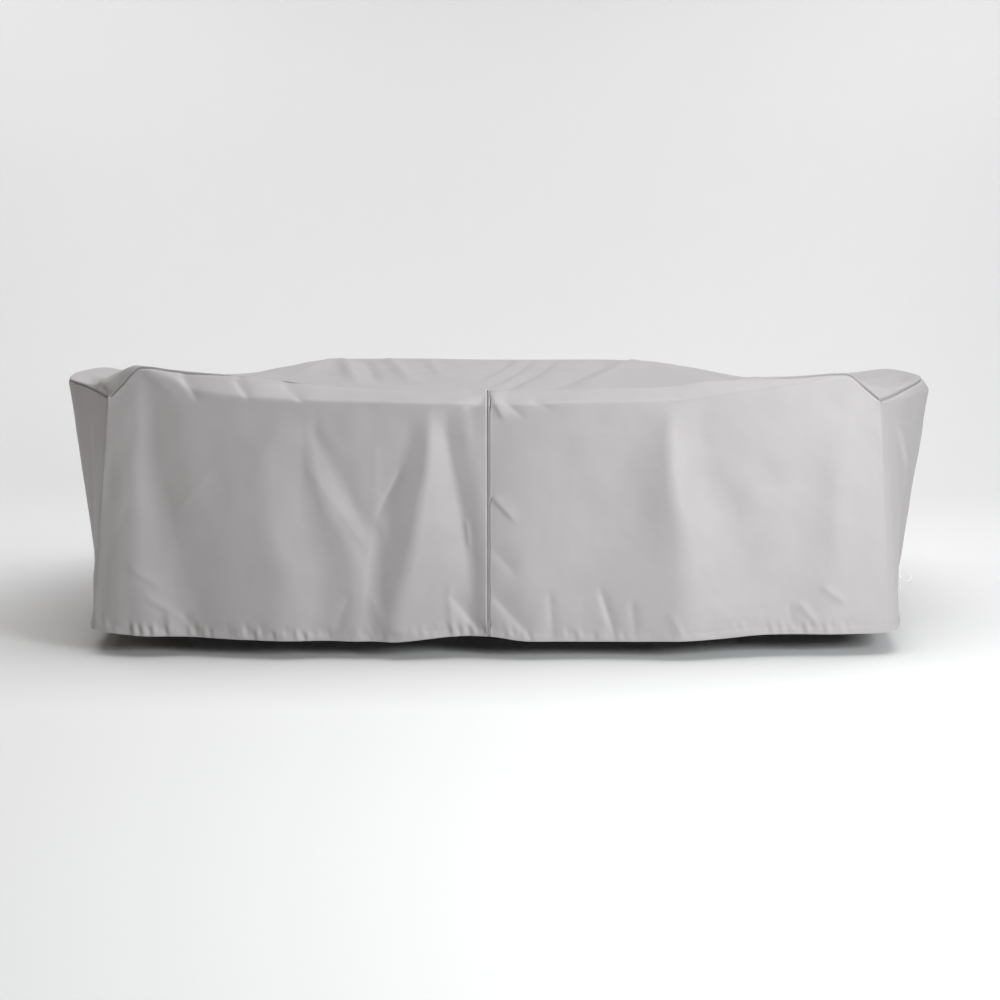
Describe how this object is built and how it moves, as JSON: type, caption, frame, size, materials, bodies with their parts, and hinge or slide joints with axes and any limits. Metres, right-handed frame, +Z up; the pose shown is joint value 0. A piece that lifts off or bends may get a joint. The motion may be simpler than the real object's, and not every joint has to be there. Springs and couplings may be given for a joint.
{
  "type": "patio furniture cover",
  "caption": "Fitted cloth cover for a patio dining set: top, front, back and end panels sewn into a hollow shell that hangs in soft folds, with a thin tie low at one corner.",
  "frame": {"origin": "under the middle of the top cloth, where the table carries it", "axes": "+X to the right along the cover's length, -Y to the front wall with the centre seam that shows, +Z up"},
  "size_m": [3.0344, 2.1938, 0.8525],
  "materials": {
    "cover_cloth": "light warm grey coated polyester, fine plain weave, soft satin sheen",
    "tie_cord": "thin white braided cord"
  },
  "bodies": {
    "root": {"top_panel": "cover_cloth", "front_left_panel": "cover_cloth", "front_right_panel": "cover_cloth", "left_end_panel": "cover_cloth", "right_end_panel": "cover_cloth", "back_left_panel": "cover_cloth", "back_right_panel": "cover_cloth", "tie_knot": "tie_cord", "tie_loop_right": "tie_cord", "tie_loop_left": "tie_cord", "tie_end_right": "tie_cord", "tie_end_down": "tie_cord"}
  },
  "joints": []
}
